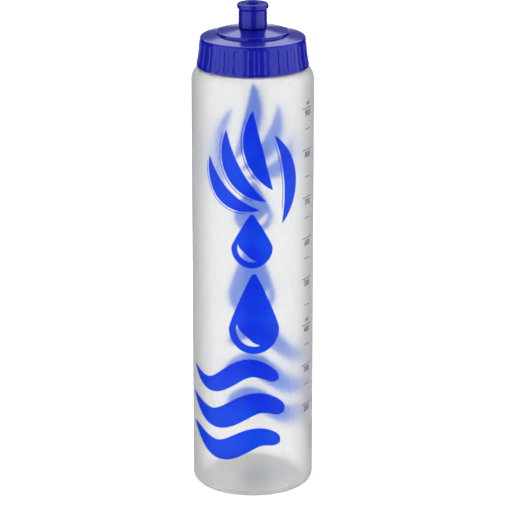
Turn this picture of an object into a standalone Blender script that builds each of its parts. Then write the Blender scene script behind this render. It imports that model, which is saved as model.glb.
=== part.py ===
"""A one-litre sports squeeze bottle with a screw cap and a push-pull nozzle.

Lengths are in metres, +Z is up, and the origin is the middle of the base, on the surface that the
bottle stands on. The nozzle is pushed down, closed, and the cap is screwed tight.
"""

import math

import bmesh
import bpy
from mathutils import Matrix

# The blow-moulded bottle.
BODY_RADIUS = 0.0365
BODY_WALL = 0.00095
BASE_CORNER = 0.0049
STANDING_RING_WIDTH = 0.0028
PUSH_UP_CORNER = 0.0022
PUSH_UP_HEIGHT = 0.0062
SHOULDER_START = 0.2515
SHOULDER_WIDTH = 0.0075
SHOULDER_HEIGHT = 0.00915

# The neck, whose rim the cap's gasket presses on.
NECK_RADIUS = 0.0276
NECK_WALL = 0.0014
NECK_FILLET = 0.0010
RIM_HEIGHT = 0.2741

# The screw thread between the neck and the cap.
THREAD_LEAD = 0.0060
THREAD_END_TURN = 1.5
CAP_THREAD_START_TURN = 0.25
THREAD_HEIGHT = 0.0015
THREAD_ROOT_WIDTH = 0.0026
THREAD_CREST_WIDTH = 0.0014
THREAD_SINK = 0.0005
THREAD_FADE_TURNS = 0.12
NECK_THREAD_START = 0.2630

# The gap that two neighbouring pieces keep.
CLEARANCE = 0.0003

# The cap. Its heights count from the skirt's bottom edge, which stands at CAP_BASE.
CAP_BASE = 0.2602
SKIRT_FOOT_RADIUS = 0.03345
SKIRT_FLARE_RADIUS = 0.0323
SKIRT_FLARE_HEIGHT = 0.0069
SKIRT_TOP_RADIUS = 0.0313
SKIRT_TOP = 0.0158
SKIRT_BORE = 0.0297
SKIRT_MOUTH_RADIUS = 0.0319
SKIRT_MOUTH_DEPTH = 0.0010
CAP_CORNER = 0.0015
ANNULUS_OUTER_HEIGHT = 0.0175
ANNULUS_INNER_HEIGHT = 0.0190
DISC_RADIUS = 0.0215
DISC_EDGE_HEIGHT = 0.0205
DISC_CENTRE_HEIGHT = 0.0228
DISC_CORNER = 0.0007
CAP_WALL = 0.0020
GASKET_SEAT_HEIGHT = 0.0157
PLUG_OUTER_RADIUS = 0.0257
PLUG_INNER_RADIUS = 0.0244
PLUG_DEPTH = 0.0036

# The grip flutes round the skirt.
FLUTE_COUNT = 33
FLUTE_WIDTH = 0.0032
FLUTE_DEPTH = 0.00045
FLUTE_TOP = 0.0153
FLUTE_BOTTOM = 0.0011
FLUTE_PHASE = math.radians(1.3)
FLUTE_SLOPE = 0.126

# The chimney that carries the nozzle, and the pin that plugs the nozzle's mouth.
CHIMNEY_RADIUS = 0.0062
CHIMNEY_BORE = 0.0050
CHIMNEY_TOP = 0.0336
STOP_BEAD_RADIUS = 0.0067
STOP_BEAD_HEIGHT = 0.0016
PIN_RADIUS = 0.0024
PIN_BOTTOM = 0.0265
PIN_TOP = 0.0392
PIN_CORNER = 0.0005
WEB_COUNT = 3
WEB_THICKNESS = 0.0012
WEB_HEIGHT = 0.0045

# The nozzle. Its heights count from its bottom edge, which stands at NOZZLE_BASE.
NOZZLE_BASE = 0.2832
NOZZLE_FOOT_RADIUS = 0.00855
NOZZLE_TOP_RADIUS = 0.00840
NOZZLE_BORE = 0.0071
NOZZLE_LIP_RADIUS = 0.0066
FLANGE_RADIUS = 0.0094
FLANGE_CORNER = 0.0014
FLANGE_SIDE = 0.0024
FLANGE_DEPTH = 0.0038
NOZZLE_HEIGHT = 0.0142
NOZZLE_ROOF = 0.0115
MOUTH_RADIUS = 0.0037
THROAT_RADIUS = 0.00275
THROAT_HEIGHT = 0.0011

# The gasket.
GASKET_INNER_RADIUS = 0.0261
GASKET_OUTER_RADIUS = 0.0293
GASKET_THICKNESS = 0.0012
GASKET_ROUNDING = 0.0003

# How finely the round pieces are drawn.
BODY_STEPS = 48
CAP_STEPS = 66
NOZZLE_STEPS = 36
PIN_STEPS = 16
THREAD_STEPS_PER_TURN = 36
SMOOTH_ANGLE = math.radians(40)
MERGE_DISTANCE = 0.00001


def clear_scene():
    for obj in list(bpy.data.objects):
        bpy.data.objects.remove(obj, do_unlink=True)


def make_collection(name):
    collection = bpy.data.collections.new(name)
    bpy.context.scene.collection.children.link(collection)
    return collection


def make_material(name, colour, roughness, transmission=0.0):
    material = bpy.data.materials.new(name)
    material.use_nodes = True
    shader = material.node_tree.nodes["Principled BSDF"]
    shader.inputs["Base Color"].default_value = (*colour, 1.0)
    shader.inputs["Roughness"].default_value = roughness
    shader.inputs["Metallic"].default_value = 0.0
    shader.inputs["Transmission Weight"].default_value = transmission
    material.diffuse_color = (*colour, 1.0)
    return material


def arc(centre, radii, start, end, steps):
    """Points of an elliptical arc, from one angle to another, in degrees from +X towards +Z."""
    points = []
    for step in range(steps + 1):
        angle = math.radians(start + (end - start) * step / steps)
        points.append(
            (centre[0] + radii[0] * math.cos(angle), centre[1] + radii[1] * math.sin(angle))
        )
    return points


def inset(outline, thickness_at):
    """The outline moved to its inner side by a wall thickness that depends on the height.

    The outline's last point lies on the axis, and so does the last point that is returned.
    """
    moved = []
    for index, (radius, height) in enumerate(outline[:-1]):
        before = outline[max(index - 1, 0)]
        after = outline[index + 1]
        along = (after[0] - before[0], after[1] - before[1])
        share = thickness_at(height) / math.hypot(*along)
        moved.append((radius + along[1] * share, height - along[0] * share))
    top_of_dome = outline[-1][1]
    moved.append((0.0, top_of_dome + thickness_at(top_of_dome)))
    return moved


def link_object(name, mesh, collection, material=None):
    obj = bpy.data.objects.new(name, mesh)
    collection.objects.link(obj)
    if material:
        mesh.materials.append(material)
    return obj


def turned(name, outline, steps, closed, collection, material=None, height=0.0):
    """A body of revolution about Z. The outline runs down the outer side, from top to bottom."""
    edges = [(index, index + 1) for index in range(len(outline) - 1)]
    if closed:
        edges.append((len(outline) - 1, 0))
    mesh = bpy.data.meshes.new(name)
    mesh.from_pydata([(radius, 0.0, z) for radius, z in outline], edges, [])
    obj = link_object(name, mesh, collection, material)
    obj.location.z = height
    screw = obj.modifiers.new("Turn", "SCREW")
    screw.axis = "Z"
    screw.angle = math.tau
    screw.steps = steps
    screw.render_steps = steps
    screw.use_merge_vertices = True
    screw.merge_threshold = MERGE_DISTANCE
    screw.use_smooth_shade = True
    return obj


def as_helper(obj):
    """Marks a cutter or an added shape, which shows only in the piece that it changes."""
    obj.hide_render = True
    obj.display_type = "WIRE"
    return obj


def combine(target, tool, operation):
    modifier = target.modifiers.new(tool.name, "BOOLEAN")
    modifier.operation = operation
    modifier.solver = "EXACT"
    modifier.object = tool


def finish_shading(obj):
    """Bakes the piece's modifiers into its mesh and shades its round faces smooth."""
    graph = bpy.context.evaluated_depsgraph_get()
    mesh = bpy.data.meshes.new_from_object(obj.evaluated_get(graph))
    mesh.name = obj.name
    obj.modifiers.clear()
    obj.data = mesh
    mesh.shade_smooth()
    mesh.set_sharp_from_angle(angle=SMOOTH_ANGLE)


def helical_ridge(name, root, crest, height, start_turn, collection):
    """One thread ridge: a trapezium carried up a right-handed helix, sunk into its wall at both ends.

    The helix would pass +X at the height that is given, and the ridge starts some turns after that.
    """
    steps = round((THREAD_END_TURN - start_turn) * THREAD_STEPS_PER_TURN)
    fade_steps = THREAD_FADE_TURNS * THREAD_STEPS_PER_TURN
    inward = math.copysign(THREAD_SINK / 2, crest - root)
    mesh = bpy.data.meshes.new(name)
    builder = bmesh.new()
    rings = []
    for step in range(steps + 1):
        turn = start_turn + step / THREAD_STEPS_PER_TURN
        angle = math.tau * turn
        middle = height + THREAD_LEAD * turn
        share = min(1.0, step / fade_steps, (steps - step) / fade_steps)
        tip = root + inward + (crest - root - inward) * share
        corners = (
            (root, middle - THREAD_ROOT_WIDTH / 2),
            (tip, middle - THREAD_CREST_WIDTH / 2),
            (tip, middle + THREAD_CREST_WIDTH / 2),
            (root, middle + THREAD_ROOT_WIDTH / 2),
        )
        ring = []
        for radius, z in corners:
            ring.append(builder.verts.new((radius * math.cos(angle), radius * math.sin(angle), z)))
        rings.append(ring)
    for lower, upper in zip(rings, rings[1:]):
        for index in range(4):
            after = (index + 1) % 4
            builder.faces.new((lower[index], lower[after], upper[after], upper[index]))
    builder.faces.new(rings[0])
    builder.faces.new(rings[-1])
    bmesh.ops.recalc_face_normals(builder, faces=builder.faces)
    builder.to_mesh(mesh)
    builder.free()
    return as_helper(link_object(name, mesh, collection))


def bottle_outer_outline():
    """The outside of the bottle, from the neck's rim down to the middle of the base."""
    shoulder_top = SHOULDER_START + SHOULDER_HEIGHT
    shoulder_centre = BODY_RADIUS - SHOULDER_WIDTH
    ring_outer = BODY_RADIUS - BASE_CORNER
    ring_inner = ring_outer - STANDING_RING_WIDTH
    push_up_start = ring_inner - PUSH_UP_CORNER
    outline = [(NECK_RADIUS, RIM_HEIGHT)]
    outline += arc(
        (NECK_RADIUS + NECK_FILLET, shoulder_top + NECK_FILLET),
        (NECK_FILLET, NECK_FILLET),
        180,
        270,
        2,
    )
    outline += arc(
        (shoulder_centre, SHOULDER_START), (SHOULDER_WIDTH, SHOULDER_HEIGHT), 90, 0, 7
    )
    outline += arc((ring_outer, BASE_CORNER), (BASE_CORNER, BASE_CORNER), 0, -90, 5)
    outline += arc((ring_inner, PUSH_UP_CORNER), (PUSH_UP_CORNER, PUSH_UP_CORNER), 270, 180, 2)
    dome_rise = PUSH_UP_HEIGHT - PUSH_UP_CORNER
    dome = arc((0.0, PUSH_UP_CORNER), (push_up_start, dome_rise), 0, 90, 4)
    outline += dome[1:]
    return outline


def make_bottle(collection, helpers, material):
    outer = bottle_outer_outline()
    shoulder_top = SHOULDER_START + SHOULDER_HEIGHT

    def wall_at(height):
        return NECK_WALL if height > shoulder_top else BODY_WALL

    inner = inset(outer, wall_at)
    outline = list(reversed(inner)) + outer
    bottle = turned("bottle_body", outline, BODY_STEPS, False, collection, material)
    ridge = helical_ridge(
        "neck_thread",
        NECK_RADIUS - THREAD_SINK,
        NECK_RADIUS + THREAD_HEIGHT,
        NECK_THREAD_START,
        0.0,
        helpers,
    )
    combine(bottle, ridge, "UNION")
    return bottle


def cap_outline():
    """The cap's section: down its outer side from the chimney's top, and back up inside."""
    disc_flat = DISC_RADIUS - DISC_CORNER
    chimney_foot = DISC_CENTRE_HEIGHT
    bead_foot = CHIMNEY_TOP - STOP_BEAD_HEIGHT
    bead_slope = STOP_BEAD_RADIUS - CHIMNEY_RADIUS
    step_under_radius = DISC_RADIUS - CAP_WALL
    step_under_height = DISC_EDGE_HEIGHT - CAP_WALL
    outline = [
        (CHIMNEY_BORE, CHIMNEY_TOP),
        (CHIMNEY_RADIUS, CHIMNEY_TOP),
        (STOP_BEAD_RADIUS, CHIMNEY_TOP - bead_slope),
        (STOP_BEAD_RADIUS, bead_foot + bead_slope),
        (CHIMNEY_RADIUS, bead_foot),
        (CHIMNEY_RADIUS, chimney_foot),
    ]
    outline += arc(
        (disc_flat, DISC_EDGE_HEIGHT - DISC_CORNER), (DISC_CORNER, DISC_CORNER), 90, 0, 2
    )
    outline.append((DISC_RADIUS, ANNULUS_INNER_HEIGHT))
    outline += arc(
        (SKIRT_TOP_RADIUS - CAP_CORNER, ANNULUS_OUTER_HEIGHT - CAP_CORNER),
        (CAP_CORNER, CAP_CORNER),
        90,
        0,
        3,
    )
    outline += [
        (SKIRT_FLARE_RADIUS, SKIRT_FLARE_HEIGHT),
        (SKIRT_FOOT_RADIUS, CLEARANCE),
        (SKIRT_FOOT_RADIUS - CLEARANCE, 0.0),
        (SKIRT_MOUTH_RADIUS, 0.0),
        (SKIRT_BORE, SKIRT_MOUTH_DEPTH),
        (SKIRT_BORE, GASKET_SEAT_HEIGHT),
        (PLUG_OUTER_RADIUS, GASKET_SEAT_HEIGHT),
        (PLUG_OUTER_RADIUS, GASKET_SEAT_HEIGHT - PLUG_DEPTH + CLEARANCE),
        (PLUG_OUTER_RADIUS - CLEARANCE, GASKET_SEAT_HEIGHT - PLUG_DEPTH),
        (PLUG_INNER_RADIUS, GASKET_SEAT_HEIGHT - PLUG_DEPTH),
        (PLUG_INNER_RADIUS, GASKET_SEAT_HEIGHT),
        (step_under_radius, GASKET_SEAT_HEIGHT + CLEARANCE),
        (step_under_radius, step_under_height),
        (CHIMNEY_BORE, DISC_CENTRE_HEIGHT - CAP_WALL),
    ]
    return outline


def make_flute_cutter(helpers):
    """Round-ended cutters that lean with the skirt's slope, one for each grip flute."""
    half_width = FLUTE_WIDTH / 2
    radius = (half_width**2 + FLUTE_DEPTH**2) / (2 * FLUTE_DEPTH)
    lean = math.atan(FLUTE_SLOPE)
    middle = (FLUTE_TOP + FLUTE_BOTTOM) / 2
    half_run = (FLUTE_TOP - FLUTE_BOTTOM) / 2 - half_width
    skirt_radius = SKIRT_TOP_RADIUS + FLUTE_SLOPE * (SKIRT_TOP - middle)
    axis_radius = skirt_radius + radius - FLUTE_DEPTH
    mesh = bpy.data.meshes.new("grip_flutes")
    builder = bmesh.new()
    for index in range(FLUTE_COUNT):
        made = bmesh.ops.create_uvsphere(builder, u_segments=24, v_segments=9, radius=radius)
        for vertex in made["verts"]:
            vertex.co.z += math.copysign(half_run, vertex.co.z)
        place = (
            Matrix.Rotation(FLUTE_PHASE + math.tau * index / FLUTE_COUNT, 4, "Z")
            @ Matrix.Translation((axis_radius, 0.0, middle))
            @ Matrix.Rotation(-lean, 4, "Y")
        )
        bmesh.ops.transform(builder, matrix=place, verts=made["verts"])
    builder.to_mesh(mesh)
    builder.free()
    return as_helper(link_object("grip_flutes", mesh, helpers))


def make_pin(helpers):
    """The pin that stands in the chimney and fills the nozzle's mouth when the nozzle is down."""
    outline = [(0.0, PIN_TOP)]
    tip_centre = (PIN_RADIUS - PIN_CORNER, PIN_TOP - PIN_CORNER)
    outline += arc(tip_centre, (PIN_CORNER, PIN_CORNER), 90, 0, 2)
    outline += [
        (PIN_RADIUS, PIN_BOTTOM + PIN_CORNER),
        (PIN_RADIUS - PIN_CORNER, PIN_BOTTOM),
        (0.0, PIN_BOTTOM),
    ]
    return as_helper(turned("centre_pin", outline, PIN_STEPS, False, helpers))


def make_web(index, helpers):
    """One of the webs that hold the pin in the middle of the chimney."""
    outer_end = (CHIMNEY_BORE + CHIMNEY_RADIUS) / 2
    name = f"pin_web_{index + 1}"
    mesh = bpy.data.meshes.new(name)
    builder = bmesh.new()
    bmesh.ops.create_cube(builder, size=1.0)
    place = (
        Matrix.Rotation(math.tau * index / WEB_COUNT, 4, "Z")
        @ Matrix.Translation((outer_end / 2, 0.0, PIN_BOTTOM + PIN_CORNER + WEB_HEIGHT / 2))
        @ Matrix.Diagonal((outer_end, WEB_THICKNESS, WEB_HEIGHT, 1.0))
    )
    bmesh.ops.transform(builder, matrix=place, verts=builder.verts)
    builder.to_mesh(mesh)
    builder.free()
    return as_helper(link_object(name, mesh, helpers))


def make_cap(collection, helpers, material):
    cap = turned("screw_cap", cap_outline(), CAP_STEPS, True, collection, material)
    thread_drop = (THREAD_ROOT_WIDTH + THREAD_CREST_WIDTH) / 2 + CLEARANCE
    ridge = helical_ridge(
        "cap_thread",
        SKIRT_BORE + THREAD_SINK,
        SKIRT_BORE - THREAD_HEIGHT,
        NECK_THREAD_START - thread_drop - CAP_BASE,
        CAP_THREAD_START_TURN,
        helpers,
    )
    combine(cap, make_flute_cutter(helpers), "DIFFERENCE")
    combine(cap, ridge, "UNION")
    combine(cap, make_pin(helpers), "UNION")
    for index in range(WEB_COUNT):
        combine(cap, make_web(index, helpers), "UNION")
    for obj in [cap, *helpers.objects]:
        if obj.name != "neck_thread":
            obj.location.z = CAP_BASE
    return cap


def gasket_outline():
    middle = (GASKET_INNER_RADIUS + GASKET_OUTER_RADIUS) / 2
    half_width = (GASKET_OUTER_RADIUS - GASKET_INNER_RADIUS) / 2 - GASKET_ROUNDING
    half_height = GASKET_THICKNESS / 2 - GASKET_ROUNDING
    corners = ((1, 1, 90), (1, -1, 0), (-1, -1, -90), (-1, 1, -180))
    outline = []
    for across, up, start in corners:
        centre = (middle + across * half_width, up * half_height)
        outline += arc(centre, (GASKET_ROUNDING, GASKET_ROUNDING), start, start - 90, 1)
    return outline


def make_gasket(collection, material):
    height = RIM_HEIGHT + CLEARANCE + GASKET_THICKNESS / 2
    return turned("cap_gasket", gasket_outline(), BODY_STEPS, True, collection, material, height)


def nozzle_outline():
    """The nozzle's section: down its outer side from the mouth, and back up inside."""
    flange_centre = (FLANGE_RADIUS - FLANGE_CORNER, NOZZLE_HEIGHT - FLANGE_CORNER)
    edge = CLEARANCE
    outline = [(MOUTH_RADIUS, NOZZLE_HEIGHT - edge), (MOUTH_RADIUS + edge, NOZZLE_HEIGHT)]
    outline += arc(flange_centre, (FLANGE_CORNER, FLANGE_CORNER), 90, 0, 4)
    outline += [
        (FLANGE_RADIUS, NOZZLE_HEIGHT - FLANGE_SIDE),
        (NOZZLE_TOP_RADIUS, NOZZLE_HEIGHT - FLANGE_DEPTH),
        (NOZZLE_FOOT_RADIUS, edge),
        (NOZZLE_FOOT_RADIUS - edge, 0.0),
        (NOZZLE_BORE, 0.0),
        (NOZZLE_LIP_RADIUS, NOZZLE_BORE - NOZZLE_LIP_RADIUS),
        (NOZZLE_LIP_RADIUS, 3 * (NOZZLE_BORE - NOZZLE_LIP_RADIUS)),
        (NOZZLE_BORE, 4 * (NOZZLE_BORE - NOZZLE_LIP_RADIUS)),
        (NOZZLE_BORE, NOZZLE_ROOF),
        (THROAT_RADIUS, NOZZLE_ROOF),
        (THROAT_RADIUS, NOZZLE_ROOF + THROAT_HEIGHT),
    ]
    return outline


def make_nozzle(collection, material):
    return turned(
        "nozzle", nozzle_outline(), NOZZLE_STEPS, True, collection, material, NOZZLE_BASE
    )


def main():
    clear_scene()
    pieces = make_collection("sports_squeeze_bottle")
    helpers = make_collection("cutters_and_added_shapes")
    clear_plastic = make_material("frosted_polyethylene", (0.86, 0.88, 0.90), 0.42, 0.6)
    blue_plastic = make_material("blue_polypropylene", (0.012, 0.014, 0.42), 0.28)
    nozzle_plastic = make_material("blue_soft_polyethylene", (0.014, 0.016, 0.45), 0.32)
    seal_rubber = make_material("white_silicone", (0.80, 0.81, 0.83), 0.55)
    bottle = make_bottle(pieces, helpers, clear_plastic)
    cap = make_cap(pieces, helpers, blue_plastic)
    gasket = make_gasket(pieces, seal_rubber)
    nozzle = make_nozzle(pieces, nozzle_plastic)
    bpy.context.view_layer.update()
    for obj in (bottle, cap, gasket, nozzle):
        finish_shading(obj)
    for child, parent in ((gasket, bottle), (cap, bottle), (nozzle, cap)):
        child.parent = parent
        child.matrix_parent_inverse = parent.matrix_world.inverted()


main()
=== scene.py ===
import math

import bmesh
import bpy
import numpy as np
from mathutils import Matrix, Vector


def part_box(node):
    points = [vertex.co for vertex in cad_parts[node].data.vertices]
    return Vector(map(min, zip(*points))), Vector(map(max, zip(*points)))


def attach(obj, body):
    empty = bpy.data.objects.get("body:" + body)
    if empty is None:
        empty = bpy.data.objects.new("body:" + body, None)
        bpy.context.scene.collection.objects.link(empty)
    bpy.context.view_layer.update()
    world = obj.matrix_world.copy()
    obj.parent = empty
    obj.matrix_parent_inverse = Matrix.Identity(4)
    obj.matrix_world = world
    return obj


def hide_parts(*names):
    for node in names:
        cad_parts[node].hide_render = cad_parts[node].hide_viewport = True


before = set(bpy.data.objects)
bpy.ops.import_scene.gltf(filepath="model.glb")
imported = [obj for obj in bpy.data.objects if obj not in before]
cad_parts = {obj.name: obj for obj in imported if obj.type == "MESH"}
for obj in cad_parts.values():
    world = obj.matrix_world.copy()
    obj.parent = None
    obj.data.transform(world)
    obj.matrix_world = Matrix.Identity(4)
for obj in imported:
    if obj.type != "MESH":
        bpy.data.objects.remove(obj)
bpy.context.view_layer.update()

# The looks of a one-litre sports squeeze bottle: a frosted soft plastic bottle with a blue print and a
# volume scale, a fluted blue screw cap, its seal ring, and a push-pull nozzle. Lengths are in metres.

MM = 0.001
BOTTLE_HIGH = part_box("bottle_body")[1]
CAP_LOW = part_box("screw_cap")[0]
NOZZLE_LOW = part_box("nozzle")[0]
GASKET_LOW, GASKET_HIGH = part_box("cap_gasket")

# The ink lies on the wall, so the wall stays this far inside the frame's widest radius.
INK_ROOM = 0.00006
INK_GAP = 0.00001
INK_THICKNESS = 0.00003
BODY_RADIUS = BOTTLE_HIGH.x - INK_ROOM
BODY_WALL = 0.95 * MM
RIM_HEIGHT = BOTTLE_HIGH.z
NECK_RADIUS = 27.6 * MM
NECK_WALL = 1.4 * MM
SHOULDER_START = 251.5 * MM
SHOULDER_WIDTH = 7.5 * MM
SHOULDER_HEIGHT = 9.15 * MM
BASE_CORNER = 4.9 * MM
PUSH_UP_CORNER = 2.2 * MM
PUSH_UP_HEIGHT = 6.2 * MM
RING_OUTER = BOTTLE_HIGH.x - BASE_CORNER
RING_INNER = RING_OUTER - 2.8 * MM
BASE_SEAM_HALF_WIDTH = 1.2 * MM
BASE_SEAM_DEPTH = 0.35 * MM

THREAD_LEAD = 6.0 * MM
THREAD_HEIGHT = 1.5 * MM
THREAD_ROOT_WIDTH = 2.6 * MM
THREAD_CREST_WIDTH = 1.4 * MM
THREAD_FADE_TURNS = 0.12
THREAD_END_TURN = 1.5
CAP_THREAD_START_TURN = 0.25
NECK_THREAD_START = 263.0 * MM
THREAD_DROP = (THREAD_ROOT_WIDTH + THREAD_CREST_WIDTH) / 2 + 0.3 * MM

SKIRT_FOOT_RADIUS = 33.45 * MM
SKIRT_FLARE_RADIUS = 32.3 * MM
SKIRT_FLARE_HEIGHT = 6.9 * MM
SKIRT_TOP_RADIUS = 31.3 * MM
SKIRT_TOP = 15.8 * MM
SKIRT_BORE = 29.7 * MM
SKIRT_MOUTH_RADIUS = 31.9 * MM
SKIRT_MOUTH_DEPTH = 1.0 * MM
FLUTE_COUNT = 33
FLUTE_WIDTH = 3.2 * MM
FLUTE_DEPTH = 0.45 * MM
FLUTE_TOP = 15.3 * MM
FLUTE_BOTTOM = 1.1 * MM
FLUTE_PHASE = math.radians(1.3)

PIN_RADIUS = 2.4 * MM
PIN_TOP = 39.18 * MM
PIN_FOOT = 26.5 * MM
WEB_COUNT = 3
WEB_SIZE = (4.4 * MM, 1.2 * MM, 4.5 * MM)
WEB_PLACE = (3.4 * MM, 0.0, 29.2 * MM)
GASKET_INNER = 26.1 * MM

SMOOTH_ANGLE = math.radians(50)


# Outlines and turned shapes.

def corner_arc(before, corner, after, radius):
    """Points that round one corner of an outline with an arc of that radius."""
    into = (corner - before).normalized()
    out = (after - corner).normalized()
    turn = into.angle(out)
    if radius <= 0.0 or turn < 0.01:
        return [corner]
    reach = radius * math.tan(turn / 2)
    reach = min(reach, 0.49 * (corner - before).length, 0.49 * (after - corner).length)
    steps = max(2, round(turn / math.radians(15)))
    start = corner - into * reach
    end = corner + out * reach
    points = []
    for step in range(steps + 1):
        share = step / steps
        # A quadratic curve through the corner's two tangent points stays close to the arc.
        points.append(
            start * (1 - share) ** 2 + corner * (2 * share * (1 - share)) + end * share**2
        )
    return points


def from_millimetres(corners):
    return [tuple(length * MM for length in corner) for corner in corners]


def rounded_outline(corners, closed):
    """The outline of (radius, height, rounding) corners, in metres, with each corner rounded."""
    places = [Vector((radius, height)) for radius, height, _ in corners]
    count = len(corners)
    outline = []
    for index, (_, _, rounding) in enumerate(corners):
        if not closed and index in (0, count - 1):
            outline.append(places[index])
            continue
        outline += corner_arc(
            places[index - 1], places[index], places[(index + 1) % count], rounding
        )
    return outline


def spaced(outline, spacing, low=-1.0, high=1.0, closed=False):
    """The outline, with points added between two heights where two are further apart than spacing."""
    filled = []
    ends = outline[1:] + ([outline[0]] if closed else [])
    for start, end in zip(outline, ends):
        filled.append(start)
        inside = low <= min(start.y, end.y) and max(start.y, end.y) <= high
        pieces = math.ceil((end - start).length / spacing) if inside else 1
        filled += [start.lerp(end, step / pieces) for step in range(1, pieces)]
    if not closed:
        filled.append(outline[-1])
    return filled


def ellipse_arc(centre, radii, start, end, steps):
    points = []
    for step in range(steps + 1):
        angle = math.radians(start + (end - start) * step / steps)
        points.append(
            Vector((centre[0] + radii[0] * math.cos(angle), centre[1] + radii[1] * math.sin(angle)))
        )
    return points


def even_angles(count):
    return [math.tau * index / count for index in range(count)]


def finish_mesh(name, mesh, material, body, height=0.0):
    obj = bpy.data.objects.new(name, mesh)
    bpy.context.scene.collection.objects.link(obj)
    obj.location.z = height
    mesh.materials.append(material)
    mesh.shade_smooth()
    mesh.set_sharp_from_angle(angle=SMOOTH_ANGLE)
    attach(obj, body)
    return obj


def turned_mesh(name, outline, angles, closed, shape=None):
    """A turned mesh. The outline runs down the outer side. shape(angle, radius, height) moves points."""
    columns = len(angles)
    places = []
    rows = []
    for radius, height in outline:
        if radius < 1e-7:
            rows.append([len(places)] * columns)
            places.append((0.0, 0.0, height))
            continue
        rows.append(range(len(places), len(places) + columns))
        for angle in angles:
            moved = shape(angle, radius, height) if shape else (radius, height)
            places.append((moved[0] * math.cos(angle), moved[0] * math.sin(angle), moved[1]))
    faces = []
    row_pairs = list(zip(rows, rows[1:]))
    if closed:
        row_pairs.append((rows[-1], rows[0]))
    for upper, lower in row_pairs:
        for index in range(columns):
            after = (index + 1) % columns
            corners = (upper[index], lower[index], lower[after], upper[after])
            faces.append(tuple(dict.fromkeys(corners)))
    mesh = bpy.data.meshes.new(name)
    mesh.from_pydata(places, [], faces)
    return mesh


def smooth_step(value):
    share = min(1.0, max(0.0, value))
    return share * share * (3 - 2 * share)


def thread_rise(angle, height, start_height, start_turn):
    """How far a thread stands out of its wall, from 0 to 1, at an angle and a height."""
    best = 0.0
    for whole in range(3):
        turn = angle / math.tau + whole
        if not start_turn <= turn <= THREAD_END_TURN:
            continue
        off = abs(height - start_height - THREAD_LEAD * turn)
        flank = (THREAD_ROOT_WIDTH / 2 - off) / (THREAD_ROOT_WIDTH / 2 - THREAD_CREST_WIDTH / 2)
        fade = min(turn - start_turn, THREAD_END_TURN - turn) / THREAD_FADE_TURNS
        best = max(best, smooth_step(flank) * smooth_step(fade))
    return best


# The bottle.

def bottle_outline():
    """Half the bottle's section: its inner wall from the base to the rim, and its outer wall back."""
    shoulder_top = SHOULDER_START + SHOULDER_HEIGHT
    neck = rounded_outline(
        [
            (NECK_RADIUS - NECK_WALL / 2, RIM_HEIGHT, 0.0),
            (NECK_RADIUS, RIM_HEIGHT, 0.35 * MM),
            (NECK_RADIUS, shoulder_top, 1.0 * MM),
            (BODY_RADIUS - SHOULDER_WIDTH, shoulder_top, 0.0),
        ],
        closed=False,
    )
    outer = spaced(neck[:-1], 0.3 * MM)
    outer += ellipse_arc(
        (BODY_RADIUS - SHOULDER_WIDTH, SHOULDER_START), (SHOULDER_WIDTH, SHOULDER_HEIGHT), 90, 0, 24
    )
    base_corner = BODY_RADIUS - RING_OUTER
    outer += ellipse_arc((RING_OUTER, BASE_CORNER), (base_corner, BASE_CORNER), 0, -90, 16)
    outer += ellipse_arc(
        (RING_INNER, PUSH_UP_CORNER), (PUSH_UP_CORNER, PUSH_UP_CORNER), 270, 180, 8
    )
    dome_rise = PUSH_UP_HEIGHT - PUSH_UP_CORNER
    outer += ellipse_arc(
        (0.0, PUSH_UP_CORNER), (RING_INNER - PUSH_UP_CORNER, dome_rise), 0, 90, 24
    )[1:]
    outer[-1].x = 0.0
    inner = []
    for index, place in enumerate(outer[:-1]):
        before = outer[max(index - 1, 0)]
        along = (outer[index + 1] - before).normalized()
        share = smooth_step((place.y - shoulder_top + 2 * MM) / (3 * MM))
        wall = BODY_WALL + (NECK_WALL - BODY_WALL) * share
        if place.y > RIM_HEIGHT - 0.5 * MM:
            continue
        inner.append(Vector((place.x + along.y * wall, place.y - along.x * wall)))
    inner_rim = rounded_outline(
        [
            (NECK_RADIUS - NECK_WALL / 2, RIM_HEIGHT, 0.0),
            (NECK_RADIUS - NECK_WALL, RIM_HEIGHT, 0.35 * MM),
            (NECK_RADIUS - NECK_WALL, RIM_HEIGHT - 0.8 * MM, 0.0),
        ],
        closed=False,
    )[1:-1]
    inner = inner_rim + inner + [Vector((0.0, PUSH_UP_HEIGHT + BODY_WALL))]
    # A few rows on the long straight wall keep its faces from being too long and thin.
    outer = spaced(outer, 12 * MM)
    return list(reversed(inner)), outer


def bottle_shape(angle, radius, height):
    """The neck's thread, and the pinched seam that the mould leaves under the base."""
    shoulder_top = SHOULDER_START + SHOULDER_HEIGHT
    if height > shoulder_top + 1.2 * MM and radius > NECK_RADIUS - 0.1 * MM:
        rise = thread_rise(angle, height, NECK_THREAD_START, 0.0)
        return radius + THREAD_HEIGHT * rise, height
    across = abs(radius * math.sin(angle))
    on_base = height < PUSH_UP_HEIGHT + 0.1 * MM and radius < RING_INNER - 3.5 * MM
    if on_base and across < BASE_SEAM_HALF_WIDTH:
        return radius, height - BASE_SEAM_DEPTH * smooth_step((BASE_SEAM_HALF_WIDTH - across) / MM)
    return radius, height


def make_bottle(outside, inside):
    angles = even_angles(256)
    inner, outer = bottle_outline()
    mesh = turned_mesh("bottle_wall", inner + outer, angles, False, bottle_shape)
    obj = finish_mesh("bottle_wall", mesh, outside, "bottle")
    mesh.materials.append(inside)
    inner_faces = (len(inner) - 1) * len(angles)
    for face in mesh.polygons[:inner_faces]:
        face.material_index = 1
    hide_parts("bottle_body")
    return obj


# The cap.

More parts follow.
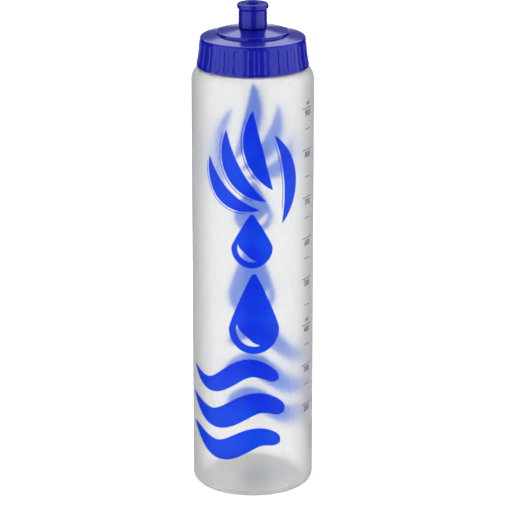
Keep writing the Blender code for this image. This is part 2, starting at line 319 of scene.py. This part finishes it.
def cap_outline():
    """The cap's section: (radius, height, rounding) corners, with heights from the skirt's foot."""
    chimney_with_bead = from_millimetres(
        (
            (5.60, 33.60, 0.00),
            (6.20, 33.60, 0.15),
            (6.70, 33.10, 0.20),
            (6.70, 32.50, 0.20),
            (6.20, 32.00, 0.20),
            (6.20, 22.75, 0.25),
        )
    )
    stepped_top = from_millimetres(
        (
            (21.50, 20.55, 0.70),
            (21.50, 18.95, 0.25),
            (31.25, 17.40, 1.70),
        )
    )
    skirt = [
        (SKIRT_FLARE_RADIUS, SKIRT_FLARE_HEIGHT, 2.5 * MM),
        (SKIRT_FOOT_RADIUS, 0.0, 0.35 * MM),
        (SKIRT_MOUTH_RADIUS, 0.0, 0.25 * MM),
        (SKIRT_BORE, SKIRT_MOUTH_DEPTH, 0.35 * MM),
        (SKIRT_BORE, 15.7 * MM, 0.25 * MM),
    ]
    plug_inside_neck = from_millimetres(
        (
            (25.70, 15.70, 0.15),
            (25.70, 12.10, 0.30),
            (24.40, 12.10, 0.30),
            (24.40, 15.70, 0.30),
        )
    )
    underside_and_bore = from_millimetres(
        (
            (19.50, 16.00, 0.50),
            (19.50, 18.60, 0.50),
            (5.00, 20.80, 0.60),
            (5.00, 33.60, 0.15),
        )
    )
    corners = chimney_with_bead + stepped_top + skirt + plug_inside_neck + underside_and_bore
    outline = rounded_outline(corners, closed=True)
    return spaced(outline, 0.35 * MM, 0.2 * MM, 17.0 * MM, closed=True)


def flute_angles():
    """Angles round the skirt, closer together at the edges of each flute."""
    pitch = math.tau / FLUTE_COUNT
    across = (-2.3, -1.85, -1.6, -1.35, -0.9, -0.45, 0.0, 0.45, 0.9, 1.35, 1.6, 1.85, 2.3, 3.1)
    mean_radius = (SKIRT_FOOT_RADIUS + SKIRT_TOP_RADIUS) / 2
    offsets = [value * MM / mean_radius for value in across]
    turns = range(FLUTE_COUNT)
    return [FLUTE_PHASE + pitch * index + offset for index in turns for offset in offsets]


def flute_depth(angle, radius, height):
    """The depth of a round-ended flute, hollow like a trough, at a point of the skirt."""
    pitch = math.tau / FLUTE_COUNT
    across = abs((angle - FLUTE_PHASE + pitch / 2) % pitch - pitch / 2) * radius
    half = FLUTE_WIDTH / 2
    beyond = max(FLUTE_BOTTOM + half - height, height - FLUTE_TOP + half, 0.0)
    reach = math.hypot(across, beyond) / half
    if reach >= 1.15:
        return 0.0
    trough = max(0.0, 1 - reach * reach)
    return FLUTE_DEPTH * smooth_step(trough * 2.0) ** 0.8


def skirt_radius(height):
    if height > SKIRT_FLARE_HEIGHT:
        share = (height - SKIRT_FLARE_HEIGHT) / (SKIRT_TOP - SKIRT_FLARE_HEIGHT)
        return SKIRT_FLARE_RADIUS + (SKIRT_TOP_RADIUS - SKIRT_FLARE_RADIUS) * share
    share = height / SKIRT_FLARE_HEIGHT
    return SKIRT_FOOT_RADIUS + (SKIRT_FLARE_RADIUS - SKIRT_FOOT_RADIUS) * share


def cap_shape(angle, radius, height):
    if 0.2 * MM < height < 16.9 * MM:
        if radius > skirt_radius(height) - 0.9 * MM:
            return radius - flute_depth(angle, radius, height), height
        if abs(radius - SKIRT_BORE) < 0.05 * MM and 1.2 * MM < height < 15.5 * MM:
            start = NECK_THREAD_START - THREAD_DROP - CAP_LOW.z
            rise = thread_rise(angle % math.tau, height, start, CAP_THREAD_START_TURN)
            return radius - THREAD_HEIGHT * rise, height
    return radius, height


def make_cap(material):
    mesh = turned_mesh("cap_shell", cap_outline(), flute_angles(), True, cap_shape)
    obj = finish_mesh("cap_shell", mesh, material, "cap", CAP_LOW.z)
    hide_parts("screw_cap")
    return obj


def make_pin(material):
    """The pin in the chimney, with the three webs that hold it."""
    corners = (
        (0.0, PIN_TOP, 0.0),
        (PIN_RADIUS, PIN_TOP, 1.3 * MM),
        (PIN_RADIUS, PIN_FOOT, 0.4 * MM),
        (0.0, PIN_FOOT, 0.0),
    )
    outline = rounded_outline(corners, closed=False)
    mesh = turned_mesh("chimney_pin", outline, even_angles(48), False)
    builder = bmesh.new()
    builder.from_mesh(mesh)
    for index in range(WEB_COUNT):
        made = bmesh.ops.create_cube(builder, size=1.0)
        place = (
            Matrix.Rotation(math.tau * index / WEB_COUNT, 4, "Z")
            @ Matrix.Translation(WEB_PLACE)
            @ Matrix.Diagonal((*WEB_SIZE, 1.0))
        )
        bmesh.ops.transform(builder, matrix=place, verts=made["verts"])
        edges = list({edge for vertex in made["verts"] for edge in vertex.link_edges})
        bmesh.ops.bevel(
            builder, geom=edges, offset=0.2 * MM, segments=3, profile=0.5, affect="EDGES"
        )
    builder.to_mesh(mesh)
    builder.free()
    return finish_mesh("chimney_pin", mesh, material, "cap", CAP_LOW.z)


def make_nozzle(material):
    """The push-pull nozzle, with heights counted from its foot."""
    bead_and_sleeve = (
        (6.20, 14.20, 0.00),
        (9.38, 14.20, 1.55),
        (9.38, 11.75, 0.90),
        (8.40, 10.60, 0.80),
        (8.55, 0.20, 0.25),
        (8.30, 0.00, 0.20),
    )
    snap_lip_and_bore = (
        (7.10, 0.00, 0.10),
        (6.60, 0.50, 0.15),
        (6.60, 1.50, 0.15),
        (7.10, 2.00, 0.20),
        (7.10, 11.50, 0.50),
    )
    mouth = (
        (2.75, 11.50, 0.25),
        (2.75, 12.60, 0.40),
        (3.70, 14.20, 0.35),
    )
    corners = from_millimetres(bead_and_sleeve + snap_lip_and_bore + mouth)
    mesh = turned_mesh("nozzle_shell", rounded_outline(corners, True), even_angles(128), True)
    obj = finish_mesh("nozzle_shell", mesh, material, "nozzle", NOZZLE_LOW.z)
    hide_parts("nozzle")
    return obj


def make_gasket(material):
    outer = GASKET_HIGH.x
    low, high = GASKET_LOW.z, GASKET_HIGH.z
    corners = (
        ((GASKET_INNER + outer) / 2, high, 0.0),
        (outer, high, 0.35 * MM),
        (outer, low, 0.35 * MM),
        (GASKET_INNER, low, 0.35 * MM),
        (GASKET_INNER, high, 0.35 * MM),
    )
    mesh = turned_mesh("seal_ring", rounded_outline(corners, True), even_angles(160), True)
    obj = finish_mesh("seal_ring", mesh, material, "seal")
    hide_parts("cap_gasket")
    return obj


# The prints, drawn flat and laid round the wall. Across is the distance round the wall to the right of
# the front, and up is the height.

INK_STRIP = 1.0 * MM


def lay_on_wall(flat, name, material, turn=0.0):
    """Bends flat ink shapes, drawn in across and up, round the wall, and gives them a thickness."""
    reach = math.pi * BODY_RADIUS
    position = -reach
    while position < reach:
        everything = flat.verts[:] + flat.edges[:] + flat.faces[:]
        bmesh.ops.bisect_plane(
            flat, geom=everything, plane_co=(position, 0, 0), plane_no=(1, 0, 0), dist=1e-7
        )
        position += INK_STRIP
    bmesh.ops.triangulate(flat, faces=flat.faces)
    made = bmesh.ops.extrude_face_region(flat, geom=flat.faces[:])
    lifted = {part for part in made["geom"] if isinstance(part, bmesh.types.BMVert)}
    for vertex in flat.verts:
        radius = BODY_RADIUS + INK_GAP + (INK_THICKNESS if vertex in lifted else 0.0)
        angle = vertex.co.x / BODY_RADIUS + turn
        height = vertex.co.y
        vertex.co = (radius * math.sin(angle), -radius * math.cos(angle), height)
    bmesh.ops.recalc_face_normals(flat, faces=flat.faces)
    mesh = bpy.data.meshes.new(name)
    flat.to_mesh(mesh)
    flat.free()
    return finish_mesh(name, mesh, material, "bottle")


def add_shape(flat, outline, holes=()):
    """Fills a closed outline of (across, up) points, but not the outlines of its holes."""
    edges = []
    for loop in (outline, *holes):
        corners = [flat.verts.new((across, up, 0.0)) for across, up in loop]
        edges += [
            flat.edges.new((corners[index], corners[(index + 1) % len(corners)]))
            for index in range(len(corners))
        ]
    bmesh.ops.triangle_fill(flat, use_beauty=True, use_dissolve=False, edges=edges)


def ribbon(spine, half_width, steps=48):
    """The outline of a band along spine(t), a point for t from 0 to 1, half_width(t) to each side."""
    left, right = [], []
    for step in range(steps + 1):
        share = step / steps
        here = Vector(spine(share))
        along = Vector(spine(min(1.0, share + 0.01))) - Vector(spine(max(0.0, share - 0.01)))
        side = Vector((-along.y, along.x)).normalized() * max(half_width(share), 0.02 * MM)
        left.append(tuple(here + side))
        right.append(tuple(here - side))
    return left + right[::-1]


def bend_between(start, end, bulge):
    """A curve from start to end that bulges to its left by a share of its length."""
    start, end = Vector(start), Vector(end)
    side = Vector((start.y - end.y, end.x - start.x)) * bulge
    middle = (start + end) / 2 + side * 2

    def place(share):
        return (
            start * (1 - share) ** 2 + middle * (2 * share * (1 - share)) + end * share**2
        )

    return place


def leaf_width(widest, blunt=0.0):
    """A half width that swells from a point, and ends in a point or, with blunt, in a rounded end."""
    def width(share):
        swell = math.sin(math.pi * min(1.0, share * (1 - 0.35 * blunt))) ** 0.8
        close = math.sqrt(max(0.0, 1 - max(0.0, (share - 0.93) / 0.07) ** 2)) if blunt else 1.0
        return widest * swell * close

    return width


def side_line(spine, half_width, gap, thin, start=0.12, end=0.96):
    """The outline of a thin line that follows a band's left side at a small gap."""
    def place(share):
        share = start + (end - start) * share
        along = Vector(spine(min(1.0, share + 0.01))) - Vector(spine(max(0.0, share - 0.01)))
        across = Vector((-along.y, along.x)).normalized()
        return Vector(spine(share)) + across * (half_width(share) + gap)

    def thickness(share):
        return thin * math.sqrt(max(0.0, 1 - abs(2 * share - 1) ** 12))

    return ribbon(place, thickness)


def drop_outline(across, up, width, height, steps=64):
    """A water drop whose tip points up. up is the middle of its round part."""
    radius = width / 2
    outline = []
    for step in range(steps):
        angle = math.tau * step / steps
        x = radius * math.sin(angle)
        y = -radius * math.cos(angle)
        if y > 0:
            share = y / radius
            x *= 1 - 0.62 * share**1.2
            y = (height - radius) * share ** 1.15
        outline.append((across + x, up + y))
    return outline


def crescent_outline(across, up, radius, width, start, end, steps=28):
    """A crescent, such as the shine on a drop, between two angles in degrees."""
    outer, inner = [], []
    for step in range(steps + 1):
        share = step / steps
        angle = math.radians(start + (end - start) * share)
        thickness = width * math.sin(math.pi * share)
        outer.append((across + radius * math.cos(angle), up + radius * math.sin(angle)))
        less = radius - max(thickness, 0.02 * MM)
        inner.append((across + less * math.cos(angle), up + less * math.sin(angle)))
    return outer + inner[::-1]


def wave_spine(start, end, height, rise, swing, phase):
    """The middle line of a wave band, which swings up and down as it crosses."""
    def place(share):
        across = start + (end - start) * share
        up = height + rise * share + swing * math.sin(math.tau * (share * 1.15 + phase))
        return Vector((across, up))

    return place


def print_shapes():
    """The waves, drops and splash: solid shapes, each with its holes, and thin lines."""
    shapes = []
    lines = []
    # Start, end, height, rise and swing in millimetres, phase in turns, and half width in millimetres.
    waves = (
        (-47, 17, 36.0, -3, 5.5, 0.30, 6.8),
        (-48, 20, 55.5, -1, 6.0, 0.36, 7.2),
        (-46, 16, 75.5, 2, 6.0, 0.42, 6.0),
    )
    for start, end, height, rise, swing, phase, half in waves:
        spine = wave_spine(start * MM, end * MM, height * MM, rise * MM, swing * MM, phase)
        shapes.append((ribbon(spine, leaf_width(half * MM, 0.4)), []))
    # Across and up, width and height, in millimetres.
    drops = ((0.8, 107.5, 31, 50), (-0.5, 158.0, 25, 33))
    for across, up, width, height in drops:
        middle = (across * MM, up * MM)
        hole = crescent_outline(*middle, width * 0.35 * MM, width * 0.14 * MM, 165, 290)
        shapes.append((drop_outline(*middle, width * MM, height * MM), [hole]))
    # Foot and tip in millimetres, bulge as a share of the length, and half width in millimetres.
    blades = (
        ((4, 181), (-28, 212), 0.20, 4.6),
        ((8, 186), (-16, 229), 0.17, 5.0),
        ((12, 193), (0, 241), 0.11, 5.6),
        ((18, 172), (13, 226), -0.15, 4.4),
    )
    for start, end, bulge, half in blades:
        foot = (start[0] * MM, start[1] * MM)
        tip = (end[0] * MM, end[1] * MM)
        spine = bend_between(foot, tip, bulge)
        shapes.append((ribbon(spine, leaf_width(half * MM)), []))
        lines.append(side_line(spine, leaf_width(half * MM), 1.2 * MM, 0.24 * MM))
    return shapes, lines


def make_print(name, turn, ink):
    flat = bmesh.new()
    shapes, lines = print_shapes()
    for outline, holes in shapes:
        add_shape(flat, outline, holes)
    for outline in lines:
        add_shape(flat, outline)
    lay_on_wall(flat, name, ink, turn)


TICK_STEP = 12.6 * MM
BLOCK_GAP = 4.0 * MM
SCALE_MIDDLE = 39.8 * MM
LOWEST_TICK = 53.9 * MM
LONG_TICK = 11.2 * MM
SHORT_TICK = 6.0 * MM
TICK_WIDTH = 0.38 * MM
DIGIT_HEIGHT = 3.5 * MM
DIGIT_DROP = 4.6 * MM
FIGURE_BOLDNESS = 0.05 * MM


def add_bar(flat, across, up, length, width):
    half, thin = length / 2, width / 2
    add_shape(
        flat,
        [
            (across - half, up - thin),
            (across + half, up - thin),
            (across + half, up + thin),
            (across - half, up + thin),
        ],
    )


def add_text(flat, text, across, up, height):
    """Adds plain figures, centred on across and standing on up."""
    curve = bpy.data.curves.new("figures", "FONT")
    curve.body = text
    curve.size = height / 0.7
    curve.align_x = "CENTER"
    curve.offset = FIGURE_BOLDNESS
    curve.resolution_u = 3
    holder = bpy.data.objects.new("figures", curve)
    bpy.context.scene.collection.objects.link(holder)
    graph = bpy.context.evaluated_depsgraph_get()
    mesh = bpy.data.meshes.new_from_object(holder.evaluated_get(graph))
    mesh.transform(Matrix.Translation((across, up, 0.0)) @ Matrix.Diagonal((0.9, 1.0, 1.0, 1.0)))
    flat.from_mesh(mesh)
    bpy.data.objects.remove(holder)
    bpy.data.curves.remove(curve)
    bpy.data.meshes.remove(mesh)


def tick_height(volume):
    """The height of a tick, whose scale has small extra gaps above 450 and above 750 millilitres."""
    extra = BLOCK_GAP * ((volume > 450) + (volume > 750))
    return LOWEST_TICK + TICK_STEP * (volume - 200) / 50 + extra


def make_scale(ink):
    flat = bmesh.new()
    for volume in range(200, 901, 50):
        up = tick_height(volume)
        whole = volume % 100 == 0
        add_bar(flat, SCALE_MIDDLE, up, LONG_TICK if whole else SHORT_TICK, TICK_WIDTH)
        if whole:
            add_text(flat, str(volume), SCALE_MIDDLE, up - DIGIT_DROP, DIGIT_HEIGHT)
    for volume in (400, 900):
        add_text(flat, "ml", SCALE_MIDDLE, tick_height(volume) + 2.0 * MM, DIGIT_HEIGHT * 0.8)
    return lay_on_wall(flat, "volume_scale", ink)


# Materials.

def material_nodes(name):
    material = bpy.data.materials.new(name)
    material.use_nodes = True
    tree = material.node_tree
    return material, tree, tree.nodes["Principled BSDF"]


def noise(tree, scale, detail, stretch=(1.0, 1.0, 1.0)):
    """A noise pattern fixed to the object, in cycles per metre."""
    place = tree.nodes.new("ShaderNodeTexCoord")
    mapping = tree.nodes.new("ShaderNodeMapping")
    mapping.inputs["Scale"].default_value = stretch
    pattern = tree.nodes.new("ShaderNodeTexNoise")
    pattern.inputs["Scale"].default_value = scale
    pattern.inputs["Detail"].default_value = detail
    tree.links.new(place.outputs["Object"], mapping.inputs["Vector"])
    tree.links.new(mapping.outputs["Vector"], pattern.inputs["Vector"])
    return pattern.outputs["Fac"]


def ramp(tree, value, low, high, from_low=0.3, from_high=0.7):
    spread = tree.nodes.new("ShaderNodeMapRange")
    spread.inputs["From Min"].default_value = from_low
    spread.inputs["From Max"].default_value = from_high
    spread.inputs["To Min"].default_value = low
    spread.inputs["To Max"].default_value = high
    tree.links.new(value, spread.inputs["Value"])
    return spread.outputs["Result"]


def distance_from(tree, point):
    """The distance from a point fixed to the object, in metres."""
    place = tree.nodes.new("ShaderNodeTexCoord")
    distance = tree.nodes.new("ShaderNodeVectorMath")
    distance.operation = "DISTANCE"
    distance.inputs[1].default_value = point
    tree.links.new(place.outputs["Object"], distance.inputs[0])
    return distance.outputs["Value"]


def colour_ramp(tree, value, low, high):
    blend = tree.nodes.new("ShaderNodeValToRGB")
    blend.color_ramp.elements[0].position = 0.3
    blend.color_ramp.elements[1].position = 0.7
    blend.color_ramp.elements[0].color = (*low, 1.0)
    blend.color_ramp.elements[1].color = (*high, 1.0)
    tree.links.new(value, blend.inputs["Fac"])
    return blend.outputs["Color"]


def bump(tree, shader, value, strength, distance):
    node = tree.nodes.new("ShaderNodeBump")
    node.inputs["Strength"].default_value = strength
    node.inputs["Distance"].default_value = distance
    tree.links.new(value, node.inputs["Height"])
    tree.links.new(node.outputs["Normal"], shader.inputs["Normal"])


def frosted_plastic(name, straight, slanting):
    """Soft polyethylene with faint clouds. It scatters the light more where it is seen at a slant."""
    material, tree, shader = material_nodes(name)
    cloud = noise(tree, 45.0, 3.0)
    shade = colour_ramp(tree, cloud, (0.758, 0.762, 0.758), (0.778, 0.782, 0.776))
    tree.links.new(shade, shader.inputs["Base Color"])
    slant = tree.nodes.new("ShaderNodeLayerWeight")
    scatter = ramp(tree, slant.outputs["Facing"], 0.0, 1.0, 0.05, 0.6)
    least = ramp(tree, cloud, straight - 0.02, straight + 0.02)
    most = ramp(tree, cloud, slanting - 0.03, slanting + 0.03)
    tree.links.new(least, scatter.node.inputs["To Min"])
    tree.links.new(most, scatter.node.inputs["To Max"])
    tree.links.new(scatter, shader.inputs["Roughness"])
    shader.inputs["Transmission Weight"].default_value = 0.95
    shader.inputs["IOR"].default_value = 1.5
    return material


def outer_plastic():
    """The bottle's outside, satin from the mould, with the faint upright flow lines of the moulding."""
    material = frosted_plastic("frosted_plastic", 0.15, 0.46)
    tree = material.node_tree
    streaks = noise(tree, 220.0, 2.0, (1.0, 1.0, 0.06))
    bump(tree, tree.nodes["Principled BSDF"], streaks, 0.25, 0.00004)
    return material


def inner_plastic():
    """The bottle's inside, which touched no mould and so is smoother."""
    return frosted_plastic("frosted_plastic_inside", 0.10, 0.32)


def moulded_plastic(name, dark, light, low, high):
    """Injection-moulded polyolefin: even colour with a slight mottle, fine grain and rubbed spots."""
    material, tree, shader = material_nodes(name)
    mottle = noise(tree, 60.0, 4.0)
    grain = noise(tree, 2600.0, 2.0)
    tree.links.new(colour_ramp(tree, mottle, dark, light), shader.inputs["Base Color"])
    tree.links.new(ramp(tree, noise(tree, 140.0, 5.0), low, high), shader.inputs["Roughness"])
    shader.inputs["IOR"].default_value = 1.49
    shader.inputs["Specular IOR Level"].default_value = 0.82
    shader.inputs["Specular Tint"].default_value = (0.53, 0.58, 1.0, 1.0)
    bump(tree, shader, grain, 0.04, 0.00001)
    return material


def screen_ink(name, dark, light, roughness, see_through):
    """Screen-printed ink, a little uneven, with the screen's fine grain. Light shines through it."""
    material, tree, shader = material_nodes(name)
    shader.inputs["Transmission Weight"].default_value = see_through
    shader.inputs["IOR"].default_value = 1.25
    mottle = noise(tree, 90.0, 3.0)
    grain = noise(tree, 3200.0, 1.0)
    tree.links.new(colour_ramp(tree, mottle, dark, light), shader.inputs["Base Color"])
    tree.links.new(ramp(tree, grain, roughness - 0.04, roughness + 0.04), shader.inputs["Roughness"])
    bump(tree, shader, grain, 0.1, 0.00001)
    return material


def silicone():
    material, tree, shader = material_nodes("seal_rubber")
    mottle = noise(tree, 120.0, 3.0)
    shade = colour_ramp(tree, mottle, (0.78, 0.79, 0.80), (0.86, 0.865, 0.87))
    tree.links.new(shade, shader.inputs["Base Color"])
    tree.links.new(ramp(tree, mottle, 0.45, 0.6), shader.inputs["Roughness"])
    bump(tree, shader, noise(tree, 1500.0, 2.0), 0.15, 0.00002)
    return material


# The studio.

CAMERA_ELEVATION = math.radians(17.2)
CAMERA_DISTANCE = 1.7631
CAMERA_TARGET = Vector((0.0013, 0.0, 0.1425))
FOCAL_LENGTH = 206.6
SENSOR_WIDTH = 36.0


def make_camera():
    data = bpy.data.cameras.new("camera")
    data.lens = FOCAL_LENGTH
    data.sensor_width = SENSOR_WIDTH
    camera = bpy.data.objects.new("camera", data)
    bpy.context.scene.collection.objects.link(camera)
    back = Vector((0.0, -math.cos(CAMERA_ELEVATION), math.sin(CAMERA_ELEVATION)))
    camera.location = CAMERA_TARGET + back * CAMERA_DISTANCE
    camera.rotation_euler = (math.pi / 2 - CAMERA_ELEVATION, 0.0, 0.0)
    bpy.context.scene.camera = camera


def make_floor():
    material, tree, shader = material_nodes("pale_floor")
    shade = colour_ramp(tree, noise(tree, 3.0, 2.0), (0.93, 0.93, 0.93), (0.95, 0.95, 0.95))
    tree.links.new(shade, shader.inputs["Base Color"])
    shader.inputs["Roughness"].default_value = 0.7
    shader.inputs["Emission Color"].default_value = (1.0, 1.0, 1.0, 1.0)
    # The floor's glow is painted: a painted shadow dims it under the bottle, shifted towards the camera,
    # painted light makes it brighter close round the bottle, and far away it fades into the backdrop.
    # Painted shadow: the floor's glow is lowered under the bottle.
    emission_with_painted_shadow = ramp(tree, distance_from(tree, (0.0, -8 * MM, 0.0)), 0.40, 0.84, 4 * MM, 34 * MM)
    far_glow = ramp(tree, distance_from(tree, (0.0, 0.0, 0.0)), 0.64, 1.0, 1.2, 2.4)
    # Painted light: the floor's glow is raised close round the bottle, where the bottle's own shadow
    # falls.
    painted_light_round_bottle = ramp(tree, distance_from(tree, (0.0, 0.0, 0.0)), 0.84, 0.64, 40 * MM, 110 * MM)
    tree.links.new(far_glow, painted_light_round_bottle.node.inputs["To Max"])
    tree.links.new(painted_light_round_bottle, emission_with_painted_shadow.node.inputs["To Max"])
    tree.links.new(emission_with_painted_shadow, shader.inputs["Emission Strength"])
    mesh = bpy.data.meshes.new("floor")
    builder = bmesh.new()
    bmesh.ops.create_grid(builder, x_segments=2, y_segments=2, size=9.0)
    builder.to_mesh(mesh)
    builder.free()
    mesh.materials.append(material)
    floor = bpy.data.objects.new("floor", mesh)
    floor.location.z = -0.02 * MM
    bpy.context.scene.collection.objects.link(floor)
    floor.visible_glossy = False
    floor.visible_shadow = False


def add_softbox(name, azimuth, elevation, distance, width, height, radiance):
    """A soft light that faces the bottle, at an azimuth to the right of the camera."""
    data = bpy.data.lights.new(name, "AREA")
    data.shape = "RECTANGLE"
    data.size = width
    data.size_y = height
    data.energy = radiance * math.pi * width * height
    light = bpy.data.objects.new(name, data)
    turn, lift = math.radians(azimuth), math.radians(elevation)
    away = Vector((math.sin(turn) * math.cos(lift), -math.cos(turn) * math.cos(lift), math.sin(lift)))
    light.location = away * distance + Vector((0.0, 0.0, 0.2))
    light.rotation_euler = away.to_track_quat("Z", "Y").to_euler()
    light.visible_camera = False
    bpy.context.scene.collection.objects.link(light)
    return light


def make_backdrop():
    """A white backdrop beyond the floor, seen straight or through plastic. It lights nothing else."""
    world = bpy.data.worlds.new("studio")
    world.use_nodes = True
    tree = world.node_tree
    background = tree.nodes["Background"]
    background.inputs["Color"].default_value = (1.0, 1.0, 1.0, 1.0)
    ray = tree.nodes.new("ShaderNodeLightPath")
    seen = tree.nodes.new("ShaderNodeMath")
    seen.operation = "MAXIMUM"
    tree.links.new(ray.outputs["Is Camera Ray"], seen.inputs[0])
    tree.links.new(ray.outputs["Is Transmission Ray"], seen.inputs[1])
    tree.links.new(seen.outputs["Value"], background.inputs["Strength"])
    bpy.context.scene.world = world


# Name, azimuth and elevation in degrees, distance, width and height in metres, and radiance.
SOFTBOXES = (
    ("softbox_left", -54.6, 0.0, 1.3, 2.1, 2.6, 1.1),
    ("softbox_right", 69.0, 0.0, 1.3, 2.15, 2.6, 1.1),
    ("softbox_behind", 180.0, 48.0, 2.0, 2.6, 1.55, 2.2),
    ("sheet_behind", 180.0, -22.0, 2.2, 2.0, 1.9, 1.0),
    ("wall_behind", 180.0, 14.0, 2.3, 2.6, 1.0, 0.17),
)
SOFTBOX_TOP = ("softbox_top", 0.0, 85.0, 1.5, 1.8, 1.8, 1.3)


def make_studio():
    make_backdrop()
    for softbox in SOFTBOXES:
        add_softbox(*softbox)
    # The light from above fills the cap's top, and isn't seen in its gloss.
    top = add_softbox(*SOFTBOX_TOP)
    top.visible_glossy = False
    bpy.context.scene.view_settings.view_transform = "Standard"


def main():
    make_camera()
    make_studio()
    make_floor()
    make_bottle(outer_plastic(), inner_plastic())
    blue = ((0.006, 0.009, 0.33), (0.007, 0.010, 0.36))
    cap_plastic = moulded_plastic("cap_plastic", *blue, 0.15, 0.20)
    make_cap(cap_plastic)
    make_pin(cap_plastic)
    blue = ((0.007, 0.009, 0.33), (0.008, 0.010, 0.36))
    make_nozzle(moulded_plastic("nozzle_plastic", *blue, 0.14, 0.19))
    make_gasket(silicone())
    blue_ink = screen_ink("front_print", (0.002, 0.080, 0.93), (0.003, 0.095, 0.96), 0.30, 0.88)
    make_print("print_front", 0.0, blue_ink)
    # The back print is the front's ink painted lighter and more see-through: painted light for the light
    # shining through it from behind the bottle.
    backlit_print_ink = screen_ink("back_print", (0.008, 0.17, 0.96), (0.010, 0.20, 0.99), 0.30, 0.92)
    make_print("print_back", math.pi, backlit_print_ink)
    make_scale(screen_ink("scale_print", (0.03, 0.03, 0.07), (0.05, 0.05, 0.10), 0.45, 0.1))


main()
